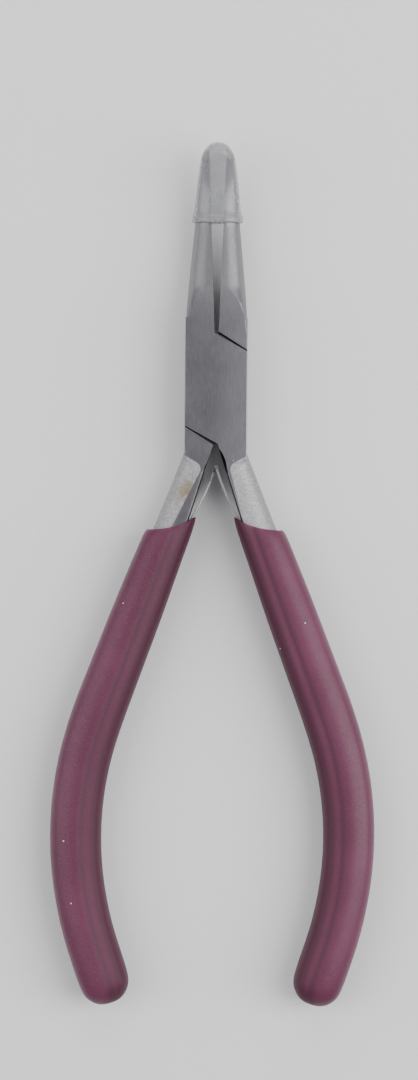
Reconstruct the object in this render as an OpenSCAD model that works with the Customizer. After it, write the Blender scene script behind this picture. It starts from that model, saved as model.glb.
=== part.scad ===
// Bent-nose jewellery pliers with a lap joint, two leaf springs, dipped grips and a soft tip guard.
// X runs across the tool, Y towards the jaw tips and Z out of the front face.
// The origin is on the pivot axis, in the plane of the joint's back face.
// The tool stands half open, as its springs and its tip guard hold it.

/* [Joint] */
// Width across the lap joint
joint_w = 10.8; // [10:0.1:12]
// Thickness of the two laps together
joint_t = 8; // [7.5:0.1:8.5]
// How far each half is turned from closed, in degrees
half_open = 2.05; // [1.5:0.05:2.2]
// Slope of the shoulder seams when the jaws are closed, in degrees
seam_angle = 30.5; // [28:0.5:32]
// Distance from the pivot axis to the edge of a lap
lap_reach = 8.3; // [8:0.1:8.6]
// Gap between a lap and the shoulders of the other half when closed
seam_gap = 0.15; // [0.15:0.01:0.25]
// Diameter of the pivot rivet
pivot_d = 4.6; // [4:0.1:5]
// Diameter of the rivet's two heads
pivot_head_d = 6.6; // [6:0.1:7]
// Thickness of each head
pivot_head_h = 1.2; // [1:0.1:1.5]
// Radial clearance where the rivet turns in the back half
pivot_gap = 0.03; // [0.02:0.005:0.05]

/* [Nose] */
// Distance along the nose at which its bend starts
bend_start = 28; // [27:0.5:29]
// Radius of the bend
bend_r = 19.5; // [18:0.5:22]
// Angle of the bend, up to the tips, in degrees
bend_angle = 41; // [38:1:46]
// Width of one jaw at its tip
tip_w = 1.1; // [1:0.05:1.4]
// Thickness of one jaw at its tip
tip_t = 2.4; // [2:0.1:3]
// Thickness of one jaw where the bend starts
bend_t = 5.4; // [5:0.1:6]
// Distance along the nose at which its flat faces end
flat_end = 17.5; // [16:0.5:19]

/* [Handles] */
// Lean of the upper stretch of a handle, in degrees
lean = 20.6; // [20:0.1:21]
// Distance below the pivot at which the handle starts to curve back
curve_y = 56.5; // [55:0.5:58]
// Distance of the handle's middle line from the centre line there
curve_x = 20; // [19.5:0.1:20.5]
// Radius of the handle's curve
curve_r = 60; // [56:1:64]
// Lean of the handle's end, towards the centre line, in degrees
end_lean = 19; // [17:1:21]
// Width of a tang inside its grip
tang_w = 5.2; // [4.8:0.1:5.4]
// Thickness of a tang inside its grip
tang_t = 6.8; // [6.4:0.1:7]

/* [Grips] */
// Width of a grip at its widest
grip_w = 9.2; // [9:0.1:9.6]
// Depth of a grip
grip_t = 9.6; // [9.2:0.1:10]
// Distance below the pivot at which the outer side of a grip starts
grip_y = 24.4; // [24:0.1:25]
// Radius of the curve of the grip's open edge
mouth_r = 13.6; // [12:0.1:15]

/* [Leaf springs] */
// Thickness of a leaf
leaf_t = 0.4; // [0.4:0.05:0.6]
// Width of a leaf
leaf_w = 4.6; // [4:0.1:5]
// Width of the tongue at the left leaf's end
tongue_w = 1.8; // [1.5:0.1:2]
// Diameter of the rivets that hold the leaves
stud_d = 1.8; // [1.5:0.1:2]

/* [Tip guard] */
// Thickness of the guard's wall
guard_wall = 0.4; // [0.35:0.05:0.5]
// Clearance between the guard and the jaws
guard_gap = 0.08; // [0.06:0.01:0.12]
// Distance along the nose at which the guard starts
guard_start = 28.9; // [28.5:0.1:29.5]
// Height of the thick band round the guard's open end
rim_h = 1.5; // [1.2:0.1:1.8]

/* [Hidden] */
$fn = 64;
eps = 0.01;
over = 1;
mid_z = joint_t / 2;
lap_gap = 0.02;
face_gap = 0.02;
cut = 20;
// Height up to which the joint's faces are ground flat
ground_y = 24;
// Length of the nose, along its middle line
tip_s = bend_start + bend_r * bend_angle * PI / 180;

// ---- helpers ----

// Signed power, which squares up the corners of an oval
function spow(v, p) = sign(v) * pow(abs(v), 2 / p);

// Solid through a list of rings that all have the same number of points
module loft(rings) {
    n = len(rings[0]);
    m = len(rings);
    walls = [for (k = [0 : m - 2], i = [0 : n - 1])
        let (j = (i + 1) % n)
        each [[k * n + i, k * n + j, (k + 1) * n + j],
              [k * n + i, (k + 1) * n + j, (k + 1) * n + i]]];
    bottom = [for (i = [n - 1 : -1 : 0]) i];
    top = [for (i = [0 : n - 1]) (m - 1) * n + i];
    polyhedron([for (r = rings) each r], concat([bottom], walls, [top]));
}

// Mirrors its children to the left side
module on_left() {
    mirror([1, 0, 0]) children();
}

// ---- nose ----

// Place of a point across the nose: s along it, x across and z above its middle line
function nose_place(s, x, z) =
    s <= bend_start
    ? [x, s, mid_z + z]
    : let (a = (s - bend_start) / bend_r * 180 / PI)
      [x, bend_start + (bend_r - z) * sin(a), mid_z + bend_r - (bend_r - z) * cos(a)];

// Width of one jaw when closed: the joint's side runs softly into the taper of the nose
jaw_slope = 0.134;
jaw_blend = 0.12;
function jaw_w(s) =
    let (root = joint_w / 2 - s * tan(half_open), taper = tip_w + (tip_s - s) * jaw_slope)
    (root + taper - sqrt(pow(root - taper, 2) + jaw_blend)) / 2;

// Half thickness of a jaw before its flat faces are ground
function jaw_b(s) = lookup(s, [
    [0, mid_z + 2.6],
    [flat_end, mid_z],
    [bend_start, bend_t / 2],
    [tip_s, tip_t / 2]]);

// Squareness of a jaw's rounded side
function jaw_p(s) = lookup(s, [[8, 10], [11, 6.5], [14, 4.2], [flat_end, 2.8], [bend_start, 2.2]]);

jaw_sides = 20;
function jaw_ring(s, w, b) =
    let (p = jaw_p(s))
    [for (i = [0 : jaw_sides])
        let (t = -90 + 180 * i / jaw_sides)
        nose_place(s, face_gap + w * spow(cos(t), p), b * spow(sin(t), p))];

// Right jaw, closed, from inside the joint to its rounded tip
jaw_start = 5;
tip_round = 0.7;
tip_flat = 0.45;
module jaw() {
    step = 0.9;
    bent_end = tip_s - tip_round;
    straight = [for (s = [jaw_start : 1 : bend_start]) jaw_ring(s, jaw_w(s), jaw_b(s))];
    bent = [for (s = [bend_start + step : step : bent_end]) jaw_ring(s, jaw_w(s), jaw_b(s))];
    tip = [for (a = [0 : 18 : 72])
        let (s = bent_end + tip_round * sin(a), k = tip_flat + (1 - tip_flat) * cos(a))
        jaw_ring(s, jaw_w(s) * k, jaw_b(s) * k)];
    loft(concat(straight, bent, tip));
}

// ---- handle ----

// Lean of the handle at height y
function lean_at(y) = asin(max(-sin(end_lean), min(sin(lean), sin(lean) + (y + curve_y) / curve_r)));

// Height at which the curve ends
end_y = -curve_y - curve_r * (sin(lean) + sin(end_lean));
end_x = curve_x + curve_r * (cos(end_lean) - cos(lean));

// Middle line of the right handle
function spine_x(y) =
    y >= -curve_y ? curve_x - (y + curve_y) * tan(lean)
    : y >= end_y ? curve_x + curve_r * (cos(lean_at(y)) - cos(lean))
    : end_x + (y - end_y) * tan(end_lean);

// The tang spreads from the joint to the point where the grip takes over
tang_top = -9.6;
tang_low = -23;
heel_y = -11;
tang_end = -98;
function half_across(y) = tang_w / 2 / cos(lean_at(y));
function tang_in(y) =
    y >= tang_low
    ? let (x0 = face_gap - tang_top * tan(half_open), x1 = spine_x(tang_low) - half_across(tang_low))
      x0 + (x1 - x0) * (tang_top - y) / (tang_top - tang_low)
    : spine_x(y) - half_across(y);
function tang_out(y) =
    y >= heel_y ? joint_w / 2
    : y >= tang_low
    ? let (x1 = spine_x(tang_low) + half_across(tang_low))
      joint_w / 2 + (x1 - joint_w / 2) * (heel_y - y) / (heel_y - tang_low)
    : spine_x(y) + half_across(y);
function tang_b(y) = lookup(-y, [
    [4, mid_z + 3], [11.3, mid_z + 1.4], [12.3, mid_z + 0.7], [13.2, mid_z + 0.1],
    [16, mid_z - 0.1], [26, tang_t / 2]]);
function tang_p(y) = lookup(-y, [[9, 8], [11.3, 4], [12.6, 2.6], [22, 2.3]]);

// A ring's crest is nearer to its flat inner side, at this share of its width
crest = 0.2;
inner_p = 7;
tang_sides = 28;
function tang_ring(y, grow) =
    let (xi = tang_in(y) - grow, xo = tang_out(y) + grow, xc = xi + crest * (xo - xi))
    [for (i = [0 : tang_sides - 1])
        let (t = -360 * i / tang_sides,
             outer = cos(t) > 0,
             p = outer ? tang_p(y) : inner_p,
             r = outer ? xo - xc : xc - xi)
        [xc + r * spow(cos(t), p), y, mid_z + (tang_b(y) + grow) * spow(sin(t), p)]];

// Right tang, with its rings close together at the shoulder and far apart inside the grip
shoulder_y = -15;
near_y = -27;
module tang(grow = 0, y_top = -5) {
    far_step = 3;
    shoulder = [for (y = [y_top : -0.5 : shoulder_y]) tang_ring(y, grow)];
    near = [for (y = [min(y_top, shoulder_y) - 1 : -1 : near_y]) tang_ring(y, grow)];
    far = [for (y = [near_y - far_step : -far_step : tang_end + 2]) tang_ring(y, grow)];
    top = y_top > shoulder_y ? shoulder : [tang_ring(y_top, grow)];
    loft(concat(top, near, far, [tang_ring(tang_end, grow)]));
}

// ---- halves ----

// Radius and centre of the relief where a lap runs into its tang
relief_r = 6;
relief_at = [-4, -14.2];
// Height from which the flat faces are ground
slab_low = -30;

// Band between the two shoulder seams of a lap, over a range of heights
module seam_band(reach, z) {
    rotate([0, 0, -seam_angle])
        translate([-cut, -reach, z[0]])
            cube([2 * cut, 2 * reach, z[1] - z[0]]);
}

// One half with its jaw on the left and its tang on the right
// lap_z is the height range of its own lap, room_z the one left for the other half's lap
module half_blank(lap_z, room_z) {
    difference() {
        union() {
            intersection() {
                translate([-joint_w / 2, -cut, -cut])
                    cube([joint_w, 2 * cut, 2 * cut]);
                rotate([0, 0, half_open])
                    seam_band(lap_reach, lap_z);
            }
            rotate([0, 0, half_open])
                on_left() jaw();
            tang();
        }
        // flat faces of the joint
        for (z = [joint_t, -cut])
            translate([-cut, slab_low, z])
                cube([2 * cut, ground_y - slab_low, cut]);
        rotate([0, 0, half_open])
            on_left() seam_band(lap_reach + seam_gap, room_z);
        // relief beside the throat, in its own lap only
        translate([relief_at[0], relief_at[1], lap_z[0]])
            cylinder(r = relief_r, h = lap_z[1] - lap_z[0]);
    }
}

// Blind hole in a tang for the rivet of its leaf spring
module stud_hole() {
    stud_place() translate([0, 0, -eps]) cylinder(d = stud_d, h = stud_l + eps);
}

// Left jaw, front lap and right tang
module front_half() {
    color("dimgray")
        difference() {
            half_blank([mid_z + lap_gap / 2, joint_t + over], [-over, mid_z + lap_gap / 2]);
            translate([0, 0, -over])
                cylinder(d = pivot_d, h = joint_t + 2 * over);
            translate([0, 0, joint_t - pivot_head_h])
                cylinder(d = pivot_head_d, h = 2 * pivot_head_h);
            stud_hole();
        }
}

// Right jaw, back lap and left tang
module back_half() {
    color("gray")
        difference() {
            on_left()
                half_blank([-over, mid_z - lap_gap / 2], [mid_z - lap_gap / 2, joint_t + over]);
            translate([0, 0, -over])
                cylinder(d = pivot_d + 2 * pivot_gap, h = joint_t + 2 * over);
            translate([0, 0, -over])
                cylinder(d = pivot_head_d + 2 * pivot_gap, h = over + pivot_head_h + pivot_gap);
            on_left() stud_hole();
        }
}

// Rivet with a flush head at each face of the joint
module pivot_rivet() {
    color("silver")
        rotate_extrude()
            polygon([
                [0, 0], [pivot_head_d / 2, 0], [pivot_head_d / 2, pivot_head_h],
                [pivot_d / 2, pivot_head_h], [pivot_d / 2, joint_t - pivot_head_h],
                [pivot_head_d / 2, joint_t - pivot_head_h], [pivot_head_d / 2, joint_t],
                [0, joint_t]]);
}

// ---- leaf springs ----

// Places its children on the right tang's inner face, Z into the tang
module stud_place() {
    translate([tang_in(stud_y), stud_y, mid_z])
        rotate([0, 0, lean])
            rotate([0, 90, 0])
                children();
}

// Middle line of the right leaf, from its foot in the grip to its tip at the centre line
leaf_foot_y = -38;
leaf_free_y = -23;
leaf_pull = [1.5, -18.4];
leaf_tip = [0.15, -13.6];
function leaf_x(y) = tang_in(y) - leaf_t / 2 / cos(lean);
function leaf_curve(t) =
    let (free = [leaf_x(leaf_free_y), leaf_free_y])
    pow(1 - t, 2) * free + 2 * t * (1 - t) * leaf_pull + t * t * leaf_tip;
leaf_line = concat([[leaf_x(leaf_foot_y), leaf_foot_y]], [for (t = [0 : 0.1 : 1]) leaf_curve(t)]);

// Strip of even thickness along a line of points
module strip(points, thick) {
    n = len(points);
    dirs = [for (i = [0 : n - 1])
        let (d = points[min(i + 1, n - 1)] - points[max(i - 1, 0)]) d / norm(d)];
    side = [for (i = [0 : n - 1]) [-dirs[i][1], dirs[i][0]] * thick / 2];
    polygon(concat(
        [for (i = [0 : n - 1]) points[i] + side[i]],
        [for (i = [n - 1 : -1 : 0]) points[i] - side[i]]));
}

module leaf_blank() {
    difference() {
        translate([0, 0, mid_z - leaf_w / 2])
            linear_extrude(leaf_w)
                strip(leaf_line, leaf_t);
        stud_place() translate([0, 0, -2]) cylinder(d = stud_d, h = 4);
    }
}

// Block that cuts a leaf's end over a length and a range of widths
tongue_gap = 0.2;
module end_cut(length, z_low, z_high) {
    translate([-3, leaf_tip[1] - length, z_low])
        cube([6, 2 * length, z_high - z_low]);
}

// Leaf with a forked end that straddles the other leaf's tongue
module right_leaf_spring() {
    half_slot = tongue_w / 2 + tongue_gap;
    color("lightsteelblue")
        difference() {
            leaf_blank();
            end_cut(2.2, mid_z - half_slot, mid_z + half_slot);
        }
}

// Leaf whose end narrows to a tongue that passes through the fork
module left_leaf_spring() {
    color("lightsteelblue")
        on_left()
            difference() {
                leaf_blank();
                end_cut(2.4, mid_z - leaf_w, mid_z - tongue_w / 2);
                end_cut(2.4, mid_z + tongue_w / 2, mid_z + leaf_w);
            }
}

// Rivet through a leaf into its tang
stud_y = -32;
stud_l = 2.2;
stud_head_h = 0.45;
stud_head_d = 3;
module spring_rivet() {
    color("silver")
        stud_place() {
            translate([0, 0, -leaf_t])
                cylinder(d = stud_d, h = stud_l + leaf_t);
            translate([0, 0, -leaf_t - stud_head_h])
                cylinder(d = stud_head_d, h = stud_head_h);
        }
}
module right_spring_rivet() { spring_rivet(); }
module left_spring_rivet() { on_left() spring_rivet(); }

// ---- grips ----

// Width of a grip over the distance along its middle line
function sleeve_w(u) = lookup(u, [
    [0, grip_w - 1.4], [12, grip_w - 0.5], [40, grip_w], [62, grip_w - 0.4], [90, grip_w - 0.7]]);

// Point and lean of the handle's middle line at a distance along it
spine_top = 18;
end_straight = 6.2;
u_curve = (curve_y - spine_top) / cos(lean);
u_end = u_curve + curve_r * (lean + end_lean) * PI / 180;
u_last = u_end + end_straight;
function spine(u) =
    u <= u_curve
    ? [curve_x - (u_curve - u) * sin(lean), -curve_y + (u_curve - u) * cos(lean), lean]
    : u <= u_end
    ? let (a = lean - (u - u_curve) / curve_r * 180 / PI)
      [curve_x + curve_r * (cos(a) - cos(lean)), -curve_y - curve_r * (sin(lean) - sin(a)), a]
    : [end_x - (u - u_end) * sin(end_lean), end_y - (u - u_end) * cos(end_lean), -end_lean];

grip_sides = 28;
grip_p = 2.5;
function grip_ring(u, w, t) =
    let (c = spine(u))
    [for (i = [0 : grip_sides - 1])
        let (a = 360 * i / grip_sides, x = w / 2 * spow(cos(a), grip_p), z = t / 2 * spow(sin(a), grip_p))
        [c[0] + x * cos(c[2]), c[1] + x * sin(c[2]), mid_z + z]];

// Dipped sleeve on the right tang
mouth_x = 11;
pocket_gap = 0.05;
module grip() {
    end_r = grip_w / 2 - 0.4;
    pocket_y = leaf_foot_y - 0.2;
    body = [for (u = [0 : 2.9 : u_last]) grip_ring(u, sleeve_w(u), grip_t)];
    end = [for (a = [8 : 16 : 88])
        grip_ring(u_last + end_r * sin(a), sleeve_w(u_last) * cos(a), grip_t * pow(cos(a), 0.8))];
    difference() {
        loft(concat(body, end));
        tang(grow = 0.03, y_top = -19);
        // curved open edge
        translate([mouth_x, -grip_y + mouth_r, -cut])
            cylinder(r = mouth_r, h = 3 * cut);
        // pocket for the leaf and its rivet
        translate([0, 0, mid_z - leaf_w / 2 - pocket_gap])
            linear_extrude(leaf_w + 2 * pocket_gap)
                strip([[leaf_x(pocket_y), pocket_y], leaf_line[1], leaf_line[4]], leaf_t + 2 * pocket_gap);
        stud_place()
            translate([0, 0, -leaf_t - stud_head_h - pocket_gap])
                cylinder(d = stud_head_d + 2 * pocket_gap, h = 2);
    }
}
module right_grip() { color([0.43, 0.24, 0.33]) grip(); }
module left_grip() { color([0.43, 0.24, 0.33]) on_left() grip(); }

// ---- tip guard ----

// Ring round both open jaws, at a clearance from them
guard_sides = 18;
function guard_ring(s, grow, k = 1) =
    let (w = jaw_w(s), b = jaw_b(s) + grow, p = jaw_p(s),
         gap = nose_place(s, 0, 0)[1] * sin(half_open) + face_gap,
         right = [for (i = [0 : guard_sides])
             let (t = -90 + 180 * i / guard_sides)
             [gap + (w + grow) * spow(cos(t), p), b * spow(sin(t), p)]],
         left = [for (i = [guard_sides : -1 : 0]) [-right[i][0], right[i][1]]])
    [for (q = concat(right, left)) nose_place(s, q[0] * k, q[1] * k)];

// Soft cap with a thick band at its open end and a domed closed end
module tip_guard() {
    inner = guard_gap;
    outer = guard_gap + guard_wall;
    band = outer + 0.12;
    band_end = guard_start + rim_h;
    last = tip_s + 0.4;
    dome = 1.5;
    color([0.85, 0.84, 0.86, 0.5])
        difference() {
            loft(concat(
                [guard_ring(guard_start, band), guard_ring(band_end, band)],
                [for (s = [band_end + 0.15 : 1 : last - 0.6]) guard_ring(s, outer)],
                [for (a = [0 : 15 : 75]) guard_ring(last + dome * sin(a), outer, cos(a))]));
            loft(concat(
                [for (s = [guard_start - 1 : 1 : tip_s - 0.5]) guard_ring(s, inner)],
                [guard_ring(last, inner)]));
        }
}

front_half();
back_half();
pivot_rivet();
right_grip();
left_grip();
right_leaf_spring();
left_leaf_spring();
right_spring_rivet();
left_spring_rivet();
tip_guard();
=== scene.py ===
"""Finishes a pair of bent-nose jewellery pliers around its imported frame.

X runs across the tool, Y towards the jaw tips and Z out of the front face.
All lengths in the properties are in metres and all angles in radians.
"""
import math

import bpy
from bpy.props import FloatProperty, FloatVectorProperty, PointerProperty
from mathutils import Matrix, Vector


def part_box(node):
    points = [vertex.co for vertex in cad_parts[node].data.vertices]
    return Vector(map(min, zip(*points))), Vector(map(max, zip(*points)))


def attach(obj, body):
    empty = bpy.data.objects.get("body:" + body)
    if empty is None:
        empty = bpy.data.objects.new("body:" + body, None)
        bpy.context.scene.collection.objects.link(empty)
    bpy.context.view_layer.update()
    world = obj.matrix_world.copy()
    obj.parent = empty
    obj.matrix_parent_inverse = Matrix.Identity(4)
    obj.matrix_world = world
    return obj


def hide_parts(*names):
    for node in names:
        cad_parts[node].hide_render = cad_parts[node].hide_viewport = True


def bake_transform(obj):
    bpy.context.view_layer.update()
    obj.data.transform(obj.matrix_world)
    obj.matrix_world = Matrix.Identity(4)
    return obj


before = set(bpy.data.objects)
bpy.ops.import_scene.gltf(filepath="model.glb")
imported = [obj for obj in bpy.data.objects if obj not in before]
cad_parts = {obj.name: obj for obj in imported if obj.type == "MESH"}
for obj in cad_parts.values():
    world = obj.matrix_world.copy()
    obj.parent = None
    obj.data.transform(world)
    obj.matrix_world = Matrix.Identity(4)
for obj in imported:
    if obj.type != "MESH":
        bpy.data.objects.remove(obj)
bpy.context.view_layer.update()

bl_info = {
    "name": "Bent-Nose Pliers",
    "version": (1, 0, 0),
    "blender": (4, 5, 0),
    "location": "View3D > Sidebar > Pliers",
    "description": "Steel halves, leaf springs, dipped grips, tip guard and stage of a pair of pliers",
    "category": "Object",
}

MM = 0.001
JOINT_LOW, JOINT_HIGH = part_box("pivot_rivet")
GRIP_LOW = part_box("right_grip")[0]
LEAF_LOW, LEAF_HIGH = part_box("right_leaf_spring")
MID_Z = (JOINT_LOW.z + JOINT_HIGH.z) / 2


# ---- sizes and colours ----

class PliersSteelSettings(bpy.types.PropertyGroup):
    edge: FloatProperty(
        name="Edge", description="Width of the small bevel on the ground edges",
        default=0.12 * MM, min=0, unit="LENGTH")
    ground_colour: FloatVectorProperty(
        name="Ground", description="Colour of the satin ground faces",
        default=(0.172, 0.166, 0.18), size=3, min=0, max=1, subtype="COLOR")
    flank_colour: FloatVectorProperty(
        name="Flanks", description="Colour of the rounded jaw sides",
        default=(0.25, 0.246, 0.26), size=3, min=0, max=1, subtype="COLOR")
    blasted_colour: FloatVectorProperty(
        name="Blasted", description="Colour of the blasted tangs",
        default=(0.43, 0.42, 0.43), size=3, min=0, max=1, subtype="COLOR")
    stain_colour: FloatVectorProperty(
        name="Stain", description="Colour of the faint tarnish on the tangs",
        default=(0.25, 0.185, 0.1), size=3, min=0, max=1, subtype="COLOR")


class PliersSpringSettings(bpy.types.PropertyGroup):
    curl: FloatProperty(
        name="Curl", description="Radius of the rolled end of a leaf",
        default=0.27 * MM, min=0, unit="LENGTH")
    colour: FloatVectorProperty(
        name="Colour", description="Colour of the spring strip",
        default=(0.25, 0.245, 0.24), size=3, min=0, max=1, subtype="COLOR")


class PliersGripSettings(bpy.types.PropertyGroup):
    lean: FloatProperty(
        name="Lean", description="Lean of the upper stretch of a handle",
        default=math.radians(20.6), subtype="ANGLE")
    end_lean: FloatProperty(
        name="End lean", description="Lean of a handle's end towards the centre line",
        default=math.radians(19), subtype="ANGLE")
    curve_x: FloatProperty(
        name="Curve X", description="Distance of the middle line from the centre where its curve starts",
        default=20 * MM, unit="LENGTH")
    curve_y: FloatProperty(
        name="Curve Y", description="Height at which the middle line's curve starts",
        default=-56.5 * MM, unit="LENGTH")
    curve_r: FloatProperty(
        name="Curve radius", description="Radius of the middle line's curve",
        default=60 * MM, unit="LENGTH")
    tail: FloatProperty(
        name="Tail", description="Length of the straight stretch after the curve",
        default=6.2 * MM, unit="LENGTH")
    mouth_y: FloatProperty(
        name="Mouth", description="Height of the lowest point of the curved open edge",
        default=-24.2 * MM, unit="LENGTH")
    mouth_x: FloatProperty(
        name="Mouth X", description="Distance of that point from the centre line",
        default=10.4 * MM, unit="LENGTH")
    mouth_r: FloatProperty(
        name="Mouth radius", description="Radius of the curved open edge",
        default=13.6 * MM, unit="LENGTH")
    wall: FloatProperty(
        name="Wall", description="Thickness of the dipped coat",
        default=0.8 * MM, unit="LENGTH")
    colour: FloatVectorProperty(
        name="Colour", description="Colour of the vinyl",
        default=(0.122, 0.029, 0.064), size=3, min=0, max=1, subtype="COLOR")
    # the deep colour gives the vinyl's random cloudy tone, and a darker share of it gives the painted
    # shade on the inner sides
    deep_and_shade_colour: FloatVectorProperty(
        name="Deep colour", description="Colour of the vinyl where it is richest",
        default=(0.074, 0.013, 0.034), size=3, min=0, max=1, subtype="COLOR")


class PliersGuardSettings(bpy.types.PropertyGroup):
    bend_start: FloatProperty(
        name="Bend start", description="Height at which the nose starts to bend",
        default=28 * MM, unit="LENGTH")
    bend_r: FloatProperty(
        name="Bend radius", description="Radius of the bend of the nose",
        default=19.5 * MM, unit="LENGTH")
    wall: FloatProperty(
        name="Wall", description="Thickness of the guard",
        default=0.22 * MM, unit="LENGTH")
    colour: FloatVectorProperty(
        name="Colour", description="Tint of the soft vinyl",
        default=(0.68, 0.68, 0.705), size=3, min=0, max=1, subtype="COLOR")


class PliersStageSettings(bpy.types.PropertyGroup):
    distance: FloatProperty(
        name="Distance", description="Height of the camera over the tool",
        default=0.6, unit="LENGTH")
    aim_x: FloatProperty(
        name="Aim X", description="Place of the camera across the tool",
        default=-1.0 * MM, unit="LENGTH")
    aim_y: FloatProperty(
        name="Aim Y", description="Place of the camera along the tool, from the pivot",
        default=-26.2 * MM, unit="LENGTH")
    lens: FloatProperty(
        name="Lens", description="Focal length of the camera in millimetres",
        default=115, min=20)
    roll: FloatProperty(
        name="Roll", description="Turn of the camera about its own axis",
        default=math.radians(0.5), subtype="ANGLE")
    floor_colour: FloatVectorProperty(
        name="Floor", description="Colour of the floor",
        default=(0.8, 0.795, 0.8), size=3, min=0, max=1, subtype="COLOR")


# ---- modelling helpers ----

def deselect():
    """Leaves no object selected"""
    bpy.ops.object.select_all(action="DESELECT")


def activate(obj):
    """Makes one object the only selected one"""
    deselect()
    obj.select_set(True)
    bpy.context.view_layer.objects.active = obj


def open_mesh(obj, selected="DESELECT"):
    """Opens a mesh in edit mode, with everything or nothing selected"""
    activate(obj)
    bpy.ops.object.mode_set(mode="EDIT")
    bpy.ops.mesh.select_all(action=selected)


def close_mesh():
    """Leaves edit mode"""
    bpy.ops.object.mode_set(mode="OBJECT")


def pick_none(mesh):
    """Clears the selection of a mesh's points, edges and faces"""
    for item in list(mesh.vertices) + list(mesh.edges) + list(mesh.polygons):
        item.select = False


def copy_node(node, name):
    """Copies a CAD node as a welded mesh of its own, with its flat faces in one piece"""
    weld = 0.001 * MM
    flat = math.radians(0.4)
    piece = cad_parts[node].copy()
    piece.data = piece.data.copy()
    piece.name = name
    piece.parent = None
    for key in list(piece.keys()):
        del piece[key]
    bpy.context.scene.collection.objects.link(piece)
    open_mesh(piece, "SELECT")
    bpy.ops.mesh.remove_doubles(threshold=weld)
    bpy.ops.mesh.dissolve_limited(angle_limit=flat)
    close_mesh()
    return piece


def soften_edges(obj, width, may_bevel):
    """Bevels a mesh's long sharp edges where the middle of an edge passes a test"""
    sharp = math.radians(60)
    shortest = 4 * width
    weld = 0.002 * MM
    open_mesh(obj)
    bpy.ops.mesh.select_mode(type="EDGE")
    bpy.ops.mesh.edges_select_sharp(sharpness=sharp)
    close_mesh()
    vertices = obj.data.vertices
    chosen = []
    for edge in obj.data.edges:
        first, second = (vertices[index].co for index in edge.vertices)
        if edge.select and (first - second).length > shortest and may_bevel((first + second) / 2):
            chosen.append(edge)
    pick_none(obj.data)
    for edge in chosen:
        edge.select = True
    bpy.ops.object.mode_set(mode="EDIT")
    bpy.ops.mesh.bevel(offset=width, segments=2, affect="EDGES")
    bpy.ops.mesh.select_all(action="SELECT")
    bpy.ops.mesh.remove_doubles(threshold=weld)
    bpy.ops.mesh.dissolve_degenerate(threshold=weld)
    close_mesh()


def apply_modifier(obj, kind, **settings):
    """Adds a modifier with its settings and applies it"""
    activate(obj)
    modifier = obj.modifiers.new(kind.title(), kind)
    for key, value in settings.items():
        setattr(modifier, key, value)
    bpy.ops.object.modifier_apply(modifier=modifier.name)


def smooth(obj, angle):
    """Shades an object smooth, apart from edges sharper than an angle in degrees"""
    activate(obj)
    bpy.ops.object.shade_smooth_by_angle(angle=math.radians(angle))


def outward(obj):
    """Turns every face of a closed mesh outwards"""
    open_mesh(obj, "SELECT")
    bpy.ops.mesh.normals_make_consistent(inside=False)
    close_mesh()


def dress(obj, material):
    """Gives an object one material"""
    obj.data.materials.clear()
    obj.data.materials.append(material)


def mirror_copy(obj, name):
    """Copies a finished piece to the other side of the centre line"""
    twin = obj.copy()
    twin.data = obj.data.copy()
    twin.name = name
    bpy.context.scene.collection.objects.link(twin)
    activate(twin)
    bpy.ops.transform.resize(value=(-1, 1, 1), center_override=(0, 0, 0))
    bpy.ops.object.transform_apply(location=True, rotation=True, scale=True)
    outward(twin)
    return twin


def add_outline(name, points):
    """Adds a closed outline through points as one ring of edges"""
    deselect()
    bpy.ops.mesh.primitive_circle_add(vertices=len(points), radius=MM, fill_type="NOTHING")
    ring = bpy.context.object
    ring.name = name
    for vertex, point in zip(ring.data.vertices, points):
        vertex.co = point
    return ring


def extrude_ring(centre, place, grow, turn=0, axis="Z"):
    """Extrudes the selected ring to a new place, then turns and scales it about its centre there

    The turn is anticlockwise about the axis; with no window the operator turns the other way.
    """
    bpy.ops.mesh.extrude_edges_move(TRANSFORM_OT_translate={"value": place - centre})
    if turn:
        bpy.ops.transform.rotate(value=-turn, orient_axis=axis, center_override=place)
    bpy.ops.transform.resize(value=grow, center_override=place)
    return place


# ---- shader helpers ----

def add_node(tree, kind, **values):
    """Adds a node, and sets its options and its sockets' values by name"""
    node = tree.nodes.new("ShaderNode" + kind)
    for key, value in values.items():
        if hasattr(node, key):
            setattr(node, key, value)
        else:
            node.inputs[key.replace("_", " ")].default_value = value
    return node


def wire(tree, *pairs):
    """Links outputs to inputs, each given as a node and a socket's name or number"""
    for source, output, target, socket in pairs:
        tree.links.new(source.outputs[output], target.inputs[socket])


def new_group(name, inputs, outputs):
    """Makes a shader node group with named inputs and outputs"""
    tree = bpy.data.node_groups.new(name, "ShaderNodeTree")
    for label, kind, value in inputs:
        socket = tree.interface.new_socket(label, in_out="INPUT", socket_type="NodeSocket" + kind)
        if value is not None:
            socket.default_value = value
    for label, kind in outputs:
        tree.interface.new_socket(label, in_out="OUTPUT", socket_type="NodeSocket" + kind)
    return tree, tree.nodes.new("NodeGroupInput"), tree.nodes.new("NodeGroupOutput")


def grain_group():
    """Fine grain, stretched into streaks as a grinding belt leaves them"""
    tree, given, result = new_group(
        "Ground grain",
        [("Vector", "Vector", None), ("Stretch", "Vector", (1, 1, 1)), ("Scale", "Float", 1000.0)],
        [("Value", "Float")])
    stretch = add_node(tree, "VectorMath", operation="MULTIPLY")
    noise = add_node(tree, "TexNoise", Detail=5.0, Roughness=0.65)
    wire(tree, (given, "Vector", stretch, 0), (given, "Stretch", stretch, 1),
         (stretch, "Vector", noise, "Vector"), (given, "Scale", noise, "Scale"),
         (noise, "Fac", result, "Value"))
    return tree


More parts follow.
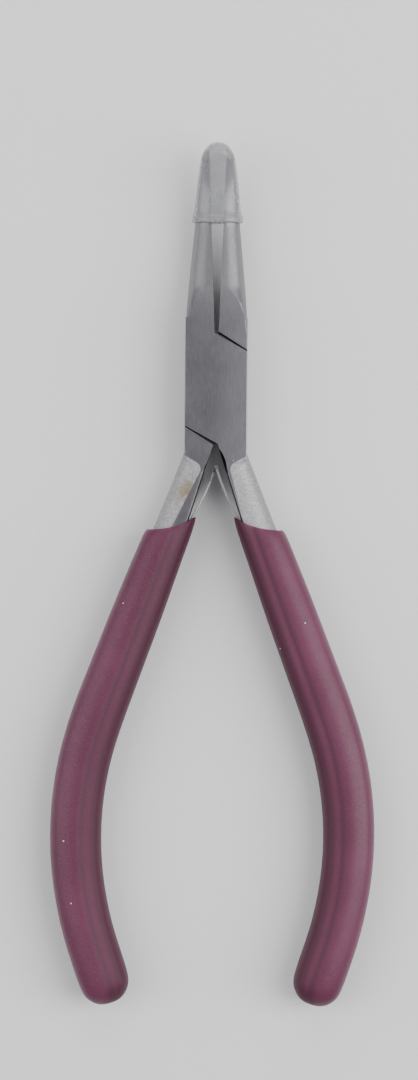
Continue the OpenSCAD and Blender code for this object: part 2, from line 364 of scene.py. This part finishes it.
def mottle_group():
    """Soft cloudy tone, spread from 0 to 1"""
    tree, given, result = new_group(
        "Soft mottle",
        [("Vector", "Vector", None), ("Scale", "Float", 100.0), ("Contrast", "Float", 0.5)],
        [("Value", "Float")])
    middle = 0.5
    noise = add_node(tree, "TexNoise", Detail=3.0, Roughness=0.55)
    half = math_node(tree, "MULTIPLY_ADD", (given, "Contrast"), -0.45, middle)
    low = math_node(tree, "SUBTRACT", middle, half)
    high = math_node(tree, "ADD", middle, half)
    spread = ramp(tree, (noise, "Fac"), low, high)
    wire(tree, (given, "Vector", noise, "Vector"), (given, "Scale", noise, "Scale"),
         (*spread, result, "Value"))
    return tree


def speck_group():
    """Scattered small specks of dust, as a mask"""
    tree, given, result = new_group(
        "Dust specks",
        [("Vector", "Vector", None), ("Scale", "Float", 300.0), ("Size", "Float", 0.1),
         ("Share", "Float", 0.2)],
        [("Mask", "Float")])
    cells = add_node(tree, "TexVoronoi")
    chance = add_node(tree, "SeparateColor")
    near = math_node(tree, "LESS_THAN", (cells, "Distance"), (given, "Size"))
    lucky = math_node(tree, "LESS_THAN", (chance, "Red"), (given, "Share"))
    both = math_node(tree, "MULTIPLY", near, lucky)
    wire(tree, (given, "Vector", cells, "Vector"), (given, "Scale", cells, "Scale"),
         (cells, "Color", chance, "Color"), (*both, result, "Mask"))
    return tree


GROUPS = {}


def place_group(tree, maker, source, **values):
    """Places a shared group in a material, fed with object coordinates"""
    if maker not in GROUPS:
        GROUPS[maker] = maker()
    node = tree.nodes.new("ShaderNodeGroup")
    node.node_tree = GROUPS[maker]
    for key, value in values.items():
        node.inputs[key].default_value = value
    tree.links.new(source.outputs["Object"], node.inputs["Vector"])
    return node


def new_material(name, **values):
    """Makes a material with object coordinates and one Principled BSDF"""
    material = bpy.data.materials.new(name)
    material.use_nodes = True
    tree = material.node_tree
    tree.nodes.clear()
    shader = add_node(tree, "BsdfPrincipled", **values)
    output = add_node(tree, "OutputMaterial")
    wire(tree, (shader, "BSDF", output, "Surface"))
    return material, tree, shader, add_node(tree, "TexCoord")


def shaded(rgb, share):
    """The same colour, darker or lighter by a share"""
    return [min(1, channel * share) for channel in rgb]


def feed(tree, node, socket, value):
    """Sets a socket to a value, or wires it to a node's output given as the node and its socket"""
    if isinstance(value, tuple) and isinstance(value[0], bpy.types.Node):
        wire(tree, (*value, node, socket))
    elif isinstance(value, (int, float)):
        node.inputs[socket].default_value = value
    else:
        node.inputs[socket].default_value = (*value, 1)


def mix_colour(tree, mask, first, second):
    """Mixes two colours by a mask"""
    node = add_node(tree, "Mix", data_type="RGBA")
    for socket, value in ((0, mask), (6, first), (7, second)):
        feed(tree, node, socket, value)
    return node, 2


def mix_value(tree, mask, first, second):
    """Mixes two numbers by a mask"""
    node = add_node(tree, "Mix", data_type="FLOAT")
    for socket, value in ((0, mask), (2, first), (3, second)):
        feed(tree, node, socket, value)
    return node, 0


def ramp(tree, source, low, high):
    """A mask that rises smoothly as a value goes from low to high"""
    node = add_node(tree, "MapRange", interpolation_type="SMOOTHSTEP")
    for socket, value in (("Value", source), ("From Min", low), ("From Max", high)):
        feed(tree, node, socket, value)
    return node, "Result"


def math_node(tree, operation, *values):
    """A math node of one to three values"""
    node = add_node(tree, "Math", operation=operation)
    for socket, value in enumerate(values):
        feed(tree, node, socket, value)
    return node, 0


def bump(tree, shader, height, strength, distance):
    """Wires a height to a shader's normal"""
    node = add_node(tree, "Bump", Strength=strength, Distance=distance)
    wire(tree, (*height, node, "Height"), (node, "Normal", shader, "Normal"))


# ---- finishes ----

def blasted_area(tree, axes):
    """Mask of the blasted tangs, which start below a rounded shoulder and widen towards the grips"""
    shoulder_y = -14.6 * MM
    shoulder_rise = 0.55
    inner_x = 2.6 * MM
    inner_y = -14.2 * MM
    right_spread = 0.26
    left_spread = 0.5
    corner = 1.2 * MM
    blur = 0.08 * MM
    across = math_node(tree, "ABSOLUTE", (axes, "X"))
    shoulder = math_node(tree, "MULTIPLY_ADD", across, shoulder_rise, shoulder_y)
    below = math_node(tree, "SUBTRACT", shoulder, (axes, "Y"))
    on_left = math_node(tree, "LESS_THAN", (axes, "X"), 0.0)
    spread = mix_value(tree, on_left, right_spread, left_spread)
    drop = math_node(tree, "MAXIMUM", math_node(tree, "SUBTRACT", inner_y, (axes, "Y")), 0.0)
    inner = math_node(tree, "MULTIPLY_ADD", drop, spread, inner_x)
    outside = math_node(tree, "SUBTRACT", across, inner)
    inside = math_node(tree, "SMOOTH_MIN", below, outside, corner)
    return ramp(tree, inside, -blur, blur)


def tarnish(tree, place):
    """Mask of the patchy tarnish on the left tang"""
    middle = (-3.8 * MM, -18.4 * MM, JOINT_HIGH.z)
    reach = 4.4 * MM
    core = 0.8 * MM
    strength = 0.85
    patches = place_group(tree, mottle_group, place, Scale=420.0, Contrast=0.6)
    spot = add_node(tree, "VectorMath", operation="DISTANCE")
    spot.inputs[1].default_value = middle
    wire(tree, (place, "Object", spot, 0))
    near_spot = math_node(tree, "MULTIPLY", ramp(tree, (spot, "Value"), reach, core), strength)
    return math_node(tree, "MULTIPLY", near_spot, ramp(tree, (patches, "Value"), 0.2, 0.8))


def tool_steel(name, steel):
    """Satin ground faces, rounded jaw sides and blasted tangs"""
    flank_y = 19 * MM
    face_y = 11 * MM
    # painted light on the ground faces rises from the first of these places across to the second
    painted_shade_x = -0.6 * JOINT_HIGH.x
    painted_light_x = 2.0 * JOINT_HIGH.x
    streak_depth = 0.5
    pit_depth = 2.0
    dust_colour = (0.75, 0.75, 0.76)
    material, tree, shader, place = new_material(name, Metallic=1.0)
    axes = add_node(tree, "SeparateXYZ")
    wire(tree, (place, "Object", axes, "Vector"))
    joint = ramp(tree, (axes, "Y"), flank_y, face_y)
    on_tang = blasted_area(tree, axes)

    streaks = place_group(tree, grain_group, place, Stretch=(1.0, 0.12, 1.0), Scale=5200.0)
    pits = place_group(tree, grain_group, place, Stretch=(1.0, 1.0, 1.0), Scale=2600.0)
    cloud = place_group(tree, mottle_group, place, Scale=160.0, Contrast=0.5)
    specks = place_group(tree, speck_group, place, Scale=1300.0, Size=0.1, Share=0.014)

    # the ground faces are clouded, and carry painted light that brightens them towards the right
    clouded = mix_colour(tree, (cloud, "Value"), shaded(steel.ground_colour, 0.8), steel.ground_colour)
    painted_light_right = ramp(tree, (axes, "X"), painted_shade_x, painted_light_x)
    ground = mix_colour(tree, painted_light_right, clouded, shaded(steel.ground_colour, 1.25))
    body = mix_colour(tree, joint, steel.flank_colour, ground)
    blasted = mix_colour(tree, ramp(tree, (pits, "Value"), 0.38, 0.62),
                         shaded(steel.blasted_colour, 0.76), steel.blasted_colour)
    tang = mix_colour(tree, tarnish(tree, place), blasted, steel.stain_colour)
    tone = mix_colour(tree, on_tang, body, tang)
    shade = math_node(tree, "MULTIPLY_ADD", (streaks, "Value"), streak_depth, 1 - streak_depth / 2)
    streaked = add_node(tree, "Mix", data_type="RGBA", blend_type="MULTIPLY")
    streaked.inputs[0].default_value = 1.0
    wire(tree, (*tone, streaked, 6), (*shade, streaked, 7))
    dusty = mix_colour(tree, (specks, "Mask"), (streaked, 2), dust_colour)

    satin = mix_value(tree, (streaks, "Value"), 0.3, 0.42)
    rough = mix_value(tree, on_tang, satin, 0.62)
    wire(tree, (*dusty, shader, "Base Color"), (*rough, shader, "Roughness"))
    pitted = math_node(tree, "MULTIPLY", (pits, "Value"), pit_depth)
    height = mix_value(tree, on_tang, (streaks, "Value"), pitted)
    bump(tree, shader, height, strength=0.35, distance=0.02 * MM)
    return material


def plain_steel(name, rgb, stretch, roughness):
    """Steel with streaks along one direction"""
    material, tree, shader, place = new_material(name, Metallic=1.0)
    streaks = place_group(tree, grain_group, place, Stretch=stretch, Scale=4200.0)
    tone = mix_colour(tree, (streaks, "Value"), shaded(rgb, 0.8), rgb)
    rough = mix_value(tree, (streaks, "Value"), roughness - 0.06, roughness + 0.08)
    wire(tree, (*tone, shader, "Base Color"), (*rough, shader, "Roughness"))
    bump(tree, shader, (streaks, "Value"), strength=0.25, distance=0.02 * MM)
    return material


def painted_shade_side(tree, place):
    """Mask of the sides that face the centre line, which get painted shade and a rougher surface on the
    grips
    """
    edge = 0.02
    full = -0.4
    spot = add_node(tree, "SeparateXYZ")
    facing = add_node(tree, "SeparateXYZ")
    wire(tree, (place, "Object", spot, "Vector"), (place, "Normal", facing, "Vector"))
    side = math_node(tree, "SIGN", (spot, "X"))
    outward_share = math_node(tree, "MULTIPLY", (facing, "X"), side)
    return ramp(tree, outward_share, edge, full)


def plum_vinyl(grip):
    """Dipped vinyl with a soft gloss, faint orange peel, a little dust and painted shade on the sides
    that face the centre line
    """
    dust_colour = (0.78, 0.72, 0.74)
    dust_height = 1.6
    fine_height = 0.25
    painted_shade_strength = 0.85
    material, tree, shader, place = new_material(
        "plum_vinyl", Specular_IOR_Level=0.29, Coat_Weight=0.06, Coat_Roughness=0.3)
    cloud = place_group(tree, mottle_group, place, Scale=60.0, Contrast=0.35)
    peel = place_group(tree, grain_group, place, Stretch=(1.0, 1.0, 1.0), Scale=900.0)
    fine = place_group(tree, grain_group, place, Stretch=(1.0, 1.0, 1.0), Scale=5000.0)
    specks = place_group(tree, speck_group, place, Scale=700.0, Size=0.085, Share=0.05)
    tone = mix_colour(tree, (cloud, "Value"), grip.deep_and_shade_colour, grip.colour)
    fleck = mix_colour(tree, ramp(tree, (fine, "Value"), 0.45, 0.8), tone, shaded(grip.colour, 1.45))
    # painted shade: the sides that face the centre line are darkened towards the deep colour and made
    # rougher
    inner = painted_shade_side(tree, place)
    shadow = math_node(tree, "MULTIPLY", inner, painted_shade_strength)
    painted_shade_tone = mix_colour(tree, shadow, fleck, shaded(grip.deep_and_shade_colour, 0.75))
    dusty = mix_colour(tree, (specks, "Mask"), painted_shade_tone, dust_colour)
    rough = mix_value(tree, inner, mix_value(tree, (peel, "Value"), 0.34, 0.5), 0.62)
    skin = math_node(tree, "MULTIPLY_ADD", (fine, "Value"), fine_height, (peel, "Value"))
    height = mix_value(tree, (specks, "Mask"), skin, dust_height)
    wire(tree, (*dusty, shader, "Base Color"), (*rough, shader, "Roughness"))
    bump(tree, shader, height, strength=0.25, distance=0.05 * MM)
    return material


def clear_vinyl(guard):
    """Soft milky vinyl that shows the steel under it"""
    material, tree, shader, place = new_material(
        "clear_vinyl", Transmission_Weight=0.8, IOR=1.3, Specular_IOR_Level=0.6, Coat_Weight=0.3,
        Coat_Roughness=0.14)
    cloud = place_group(tree, mottle_group, place, Scale=420.0, Contrast=0.5)
    peel = place_group(tree, grain_group, place, Stretch=(1.0, 0.5, 1.0), Scale=1500.0)
    tone = mix_colour(tree, (cloud, "Value"), shaded(guard.colour, 0.9), guard.colour)
    rough = mix_value(tree, (cloud, "Value"), 0.16, 0.3)
    wire(tree, (*tone, shader, "Base Color"), (*rough, shader, "Roughness"))
    bump(tree, shader, (peel, "Value"), strength=0.03, distance=0.05 * MM)
    return material


def floor_card(stage):
    """Plain pale floor with a barely visible tooth"""
    material, tree, shader, place = new_material("floor_card", Roughness=0.75)
    tooth = place_group(tree, grain_group, place, Stretch=(1.0, 1.0, 1.0), Scale=1800.0)
    tone = mix_colour(tree, (tooth, "Value"), shaded(stage.floor_colour, 0.97), stage.floor_colour)
    wire(tree, (*tone, shader, "Base Color"))
    bump(tree, shader, (tooth, "Value"), strength=0.1, distance=0.05 * MM)
    return material


# ---- pieces ----

class PLIERS_OT_halves(bpy.types.Operator):
    """Builds both forged halves from the frame, with small bevels on their ground edges"""
    bl_idname = "pliers.build_halves"
    bl_label = "Halves"

    def may_bevel(self, spot):
        """Allows the seams and the long sides of a lap's ground faces, but not the rivet's hole"""
        seam_y = 8.6 * MM
        side_x = 4.5 * MM
        side_y = 11.5 * MM
        on_face = abs(spot.z - MID_Z) > 0.975 * (JOINT_HIGH.z - MID_Z)
        at_hole = spot.xy.length < 1.05 * JOINT_HIGH.x
        on_seam = abs(spot.y) < seam_y
        on_side = abs(spot.x) > side_x and abs(spot.y) < side_y
        return on_face and not at_hole and (on_seam or on_side)

    def execute(self, context):
        steel = context.scene.pliers_steel
        finish = tool_steel("tool_steel", steel)
        for body in ("front_half", "back_half"):
            piece = copy_node(body, body + "_forging")
            soften_edges(piece, steel.edge, self.may_bevel)
            smooth(piece, 25)
            apply_modifier(piece, "WEIGHTED_NORMAL", keep_sharp=True, weight=50)
            dress(piece, finish)
            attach(piece, body)
            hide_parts(body)
        return {"FINISHED"}


class PLIERS_OT_rivets(bpy.types.Operator):
    """Finishes the pivot rivet and the two spring rivets, which keep the frame's shapes"""
    bl_idname = "pliers.finish_rivets"
    bl_label = "Rivets"

    def execute(self, context):
        steel = context.scene.pliers_steel
        dress(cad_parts["pivot_rivet"], tool_steel("rivet_steel", steel))
        finish = plain_steel("stud_steel", steel.ground_colour, (1.0, 0.12, 1.0), 0.36)
        for node in ("right_spring_rivet", "left_spring_rivet"):
            dress(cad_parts[node], finish)
        return {"FINISHED"}


class PLIERS_OT_springs(bpy.types.Operator):
    """Builds the two leaves of the return spring, each with a rolled end"""
    bl_idname = "pliers.build_springs"
    bl_label = "Leaf springs"

    def roll(self, name, place, low, high, radius):
        """Adds one short roll of strip along Z, with an open eye in each end"""
        eye_wall = 0.45 * radius
        eye_depth = 0.3 * (high - low)
        deselect()
        bpy.ops.mesh.primitive_cylinder_add(
            vertices=20, radius=radius, depth=high - low, end_fill_type="NGON",
            location=(place.x, place.y, (low + high) / 2))
        tube = bpy.context.object
        tube.name = name
        bpy.ops.object.transform_apply(location=True, rotation=True, scale=True)
        pick_none(tube.data)
        for face in tube.data.polygons:
            face.select = abs(face.normal.z) > 0.9
        bpy.ops.object.mode_set(mode="EDIT")
        bpy.ops.mesh.select_mode(type="FACE")
        bpy.ops.mesh.inset(thickness=eye_wall)
        bpy.ops.mesh.extrude_region_shrink_fatten(TRANSFORM_OT_shrink_fatten={"value": -eye_depth})
        close_mesh()
        return tube

    def execute(self, context):
        spring = context.scene.pliers_spring
        finish = plain_steel("spring_steel", spring.colour, (1.0, 0.1, 1.0), 0.4)
        # the left leaf's tongue sits between the right leaf's two prongs
        tongue = 0.9 * MM
        gap = 0.2 * MM
        prong_end = (LEAF_HIGH.z - LEAF_LOW.z) / 2
        strip_edge = 0.06 * MM
        tip_x = 0.1 * MM
        drop = 2.6 * spring.curl
        for side, body, other in ((1, "front_half", "back_half"), (-1, "back_half", "front_half")):
            word = "right" if side > 0 else "left"
            node = word + "_leaf_spring"
            leaf = copy_node(node, node.replace("spring", "strip"))
            apply_modifier(leaf, "BEVEL", width=strip_edge, segments=2, limit_method="ANGLE",
                           angle_limit=math.radians(40), use_clamp_overlap=True)
            if side > 0:
                end = Vector((tip_x, LEAF_HIGH.y, MID_Z))
                spans = [(-prong_end, -tongue - gap), (tongue + gap, prong_end)]
            else:
                end = Vector((-tip_x, LEAF_HIGH.y - drop, MID_Z))
                spans = [(-tongue, tongue)]
            rolls = [self.roll(f"{word}_roll_{number}", end, MID_Z + low, MID_Z + high, spring.curl)
                     for number, (low, high) in enumerate(spans)]
            deselect()
            for part in rolls:
                part.select_set(True)
            leaf.select_set(True)
            context.view_layer.objects.active = leaf
            bpy.ops.object.join()
            smooth(leaf, 30)
            dress(leaf, finish)
            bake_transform(leaf)
            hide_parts(node)
        return {"FINISHED"}


class PLIERS_OT_grips(bpy.types.Operator):
    """Builds the two dipped grips as sleeves with a curved open edge and a closed round end"""
    bl_idname = "pliers.build_grips"
    bl_label = "Grips"

    # Upper half of the section in millimetres, from the outer side to the inner side,
    # with a shallow groove between the tang and the spring beside it
    SECTION = (
        (4.6, 0), (4.5, 2.2), (3.75, 3.8), (2.0, 4.68), (0.2, 4.85), (-0.8, 4.74), (-1.5, 4.46),
        (-2.2, 4.42), (-3.1, 4.2), (-3.95, 3.5), (-4.45, 2.1), (-4.6, 0))

    def middle_line(self, grip, distance):
        """Place and lean of the right handle's middle line, past the start of its curve"""
        turn = max(0.0, min(distance / grip.curve_r, grip.lean + grip.end_lean))
        lean = grip.lean - turn
        x = grip.curve_x + grip.curve_r * (math.cos(lean) - math.cos(grip.lean))
        y = grip.curve_y - grip.curve_r * (math.sin(grip.lean) - math.sin(lean))
        spare = distance - turn * grip.curve_r
        return Vector((x + spare * math.sin(lean), y - spare * math.cos(lean), MID_Z)), lean

    def stations(self, grip):
        """Distances along the middle line, with the shares of the section's width and depth there"""
        start = (grip.curve_y - grip.mouth_y) / math.cos(grip.lean)
        curve = grip.curve_r * (grip.lean + grip.end_lean)
        last = curve + grip.tail
        end_radius = 4.1 * MM
        end_width = 0.965
        end_depth = 0.99
        rows = [(start, 0.85, 0.97), (start * 0.86, 0.88, 0.98), (start * 0.7, 0.92, 0.99)]
        rows += [(start * k, 0.95 + 0.05 * (0.55 - k) / 0.55, 1.0) for k in (0.55, 0.35, 0.15)]
        rows += [(curve * k, 1.0 - 0.04 * k, 1.0) for k in (0.0, 0.15, 0.3, 0.45, 0.6, 0.75, 0.9)]
        rows += [(curve, 0.96, 1.0), (last, end_width, end_depth)]
        for angle in (25, 48, 66, 80):
            reach = end_radius * math.sin(math.radians(angle))
            swell = math.cos(math.radians(angle))
            rows.append((last + reach, end_width * swell, end_depth * swell ** 0.85))
        return rows

    def sleeve(self, grip):
        """Right sleeve's outer skin, open at its mouth"""
        whole = list(self.SECTION) + [(x, -z) for x, z in reversed(self.SECTION[1:-1])]
        rows = self.stations(grip)
        centre, lean = self.middle_line(grip, rows[0][0])
        wide, deep = rows[0][1:]
        across = Vector((math.cos(lean), math.sin(lean), 0))
        points = [centre + across * x * MM * wide + Vector((0, 0, z * MM * deep)) for x, z in whole]
        skin = add_outline("right_grip_sleeve", points)
        open_mesh(skin, "SELECT")
        for distance, width, depth in rows[1:]:
            place, new_lean = self.middle_line(grip, distance)
            grow = (width / wide, width / wide, depth / deep)
            centre = extrude_ring(centre, place, grow, new_lean - lean)
            wide, deep, lean = width, depth, new_lean
        bpy.ops.mesh.merge(type="CENTER")
        close_mesh()
        self.shape_mouth(grip, skin, len(whole))
        outward(skin)
        return skin

    def shape_mouth(self, grip, skin, count):
        """Slides the first ring along the handle onto the arc of the open edge"""
        along = Vector((math.sin(grip.lean), -math.cos(grip.lean), 0))
        middle = Vector((grip.mouth_x, grip.mouth_y + grip.mouth_r, 0))
        for vertex in skin.data.vertices[:count]:
            to_middle = Vector((vertex.co.x, vertex.co.y, 0)) - middle
            reach = to_middle.dot(along)
            room = max(reach ** 2 - to_middle.length_squared + grip.mouth_r ** 2, 0)
            vertex.co += along * (math.sqrt(room) - reach)

    def execute(self, context):
        grip = context.scene.pliers_grip
        finish = plum_vinyl(grip)
        right = self.sleeve(grip)
        apply_modifier(right, "SOLIDIFY", thickness=grip.wall, offset=-1, use_even_offset=True)
        apply_modifier(right, "SUBSURF", levels=2, render_levels=2)
        smooth(right, 60)
        left = mirror_copy(right, "left_grip_sleeve")
        smooth(left, 60)
        for piece, body, node in ((right, "front_half", "right_grip"), (left, "back_half", "left_grip")):
            dress(piece, finish)
            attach(piece, body)
            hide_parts(node)
        return {"FINISHED"}


class PLIERS_OT_guard(bpy.types.Operator):
    """Builds the soft tip guard with a thick band round its open end and a domed closed end"""
    bl_idname = "pliers.build_guard"
    bl_label = "Tip guard"

    # Distance along the nose, half width and half depth of the guard in millimetres
    ROWS = (
        (28.9, 4.3, 3.2), (29.05, 4.5, 3.4), (30.2, 4.5, 3.4), (30.42, 4.16, 3.05), (32, 3.98, 2.8),
        (34.5, 3.72, 2.45), (37, 3.44, 2.2), (39, 3.2, 2.0), (40.6, 2.95, 1.85), (41.8, 2.55, 1.7),
        (42.7, 1.95, 1.45), (43.3, 1.2, 1.05), (43.65, 0.5, 0.5))

    # Number of points round the guard, and the squareness of its section
    SIDES = 28
    SQUARENESS = 2.5

    def bend_place(self, guard, distance):
        """Place and turn of the nose's middle line at a distance along it"""
        turn = (distance - guard.bend_start) / guard.bend_r
        pivot = Vector((0, guard.bend_start, MID_Z + guard.bend_r))
        return pivot + Vector((0, math.sin(turn), -math.cos(turn))) * guard.bend_r, turn

    def section(self, centre, turn, wide, deep):
        """Points of a squared oval across the nose"""
        up = Vector((0, -math.sin(turn), math.cos(turn)))
        power = 2 / self.SQUARENESS
        points = []
        for number in range(self.SIDES):
            angle = 2 * math.pi * number / self.SIDES
            cosine, sine = math.cos(angle), math.sin(angle)
            x = math.copysign(abs(cosine) ** power, cosine) * wide
            z = math.copysign(abs(sine) ** power, sine) * deep
            points.append(centre + Vector((x, 0, 0)) + up * z)
        return points

    def execute(self, context):
        guard = context.scene.pliers_guard
        distance, wide, deep = (value * MM for value in self.ROWS[0])
        centre, turn = self.bend_place(guard, distance)
        points = self.section(centre, turn, wide, deep)
        skin = add_outline("tip_guard_cap", points)
        open_mesh(skin, "SELECT")
        for row in self.ROWS[1:]:
            distance, width, depth = (value * MM for value in row)
            spot, new_turn = self.bend_place(guard, distance)
            grow = (width / wide, depth / deep, depth / deep)
            centre = extrude_ring(centre, spot, grow, new_turn - turn, "X")
            wide, deep, turn = width, depth, new_turn
        bpy.ops.mesh.merge(type="CENTER")
        close_mesh()
        outward(skin)
        apply_modifier(skin, "SOLIDIFY", thickness=guard.wall, offset=-1, use_even_offset=True)
        apply_modifier(skin, "SUBSURF", levels=2, render_levels=2)
        smooth(skin, 60)
        dress(skin, clear_vinyl(guard))
        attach(skin, "tip_guard")
        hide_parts("tip_guard")
        return {"FINISHED"}


# ---- stage ----

class PLIERS_OT_stage(bpy.types.Operator):
    """Adds the floor, the soft lights and the camera"""
    bl_idname = "pliers.build_stage"
    bl_label = "Stage"

    # Name, place, size and power of each soft light
    LIGHTS = (
        ("left_softbox", (-0.5, -0.02, 0.46), (0.45, 0.8), 2.8),
        ("right_softbox", (0.5, -0.02, 0.5), (0.45, 0.8), 5.8),
        ("top_softbox", (0, 0.55, 0.4), (0.8, 0.4), 2.0))
    LIGHTS_AIM = (0, -0.03, 0)

    def floor(self, stage):
        """A wide pale floor just under the grips"""
        clearance = 0.02 * MM
        deselect()
        bpy.ops.mesh.primitive_plane_add(size=4, location=(0, 0, GRIP_LOW.z - clearance))
        floor = bpy.context.object
        floor.name = "floor"
        bpy.ops.object.transform_apply(location=True, rotation=True, scale=True)
        dress(floor, floor_card(stage))

    def softbox(self, name, place, size, power):
        """A rectangular light that looks at the top of the handles"""
        data = bpy.data.lights.new(name, "AREA")
        data.shape = "RECTANGLE"
        data.size, data.size_y = size
        data.energy = power
        light = bpy.data.objects.new(name, data)
        light.location = place
        aim = Vector(self.LIGHTS_AIM) - light.location
        light.rotation_euler = aim.to_track_quat("-Z", "Y").to_euler()
        bpy.context.scene.collection.objects.link(light)

    def execute(self, context):
        stage = context.scene.pliers_stage
        self.floor(stage)
        for light in self.LIGHTS:
            self.softbox(*light)
        world = bpy.data.worlds.new("studio")
        world.use_nodes = True
        background = world.node_tree.nodes["Background"]
        background.inputs["Color"].default_value = (0.95, 0.96, 1.0, 1)
        background.inputs["Strength"].default_value = 0.48
        context.scene.world = world

        lens = bpy.data.cameras.new("camera")
        lens.lens = stage.lens
        lens.sensor_width = 36
        lens.clip_start = 0.01
        camera = bpy.data.objects.new("camera", lens)
        camera.location = (stage.aim_x, stage.aim_y, MID_Z + stage.distance)
        camera.rotation_euler = (0, 0, stage.roll)
        context.scene.collection.objects.link(camera)
        context.scene.camera = camera
        return {"FINISHED"}


class PLIERS_PT_panel(bpy.types.Panel):
    """Lists the steps that build the pliers"""
    bl_idname = "PLIERS_PT_panel"
    bl_label = "Pliers"
    bl_space_type = "VIEW_3D"
    bl_region_type = "UI"
    bl_category = "Pliers"

    def draw(self, context):
        for step in STEPS:
            self.layout.operator(step.bl_idname)
        for setting in SETTINGS:
            group = getattr(context.scene, setting)
            box = self.layout.box()
            for name in group.bl_rna.properties.keys():
                if name not in ("rna_type", "name"):
                    box.prop(group, name)


SETTINGS = {
    "pliers_steel": PliersSteelSettings,
    "pliers_spring": PliersSpringSettings,
    "pliers_grip": PliersGripSettings,
    "pliers_guard": PliersGuardSettings,
    "pliers_stage": PliersStageSettings,
}
STEPS = (PLIERS_OT_halves, PLIERS_OT_rivets, PLIERS_OT_springs, PLIERS_OT_grips, PLIERS_OT_guard,
         PLIERS_OT_stage)


def register():
    """Adds the settings, the steps and the panel"""
    for name, group in SETTINGS.items():
        bpy.utils.register_class(group)
        setattr(bpy.types.Scene, name, PointerProperty(type=group))
    for item in STEPS + (PLIERS_PT_panel,):
        bpy.utils.register_class(item)


def unregister():
    """Takes them out again"""
    for item in reversed(STEPS + (PLIERS_PT_panel,)):
        bpy.utils.unregister_class(item)
    for name, group in SETTINGS.items():
        delattr(bpy.types.Scene, name)
        bpy.utils.unregister_class(group)


def main():
    """Builds everything around the frame"""
    register()
    bpy.ops.pliers.build_stage()
    bpy.ops.pliers.build_halves()
    bpy.ops.pliers.finish_rivets()
    bpy.ops.pliers.build_springs()
    bpy.ops.pliers.build_grips()
    bpy.ops.pliers.build_guard()


if __name__ == "__main__":
    main()
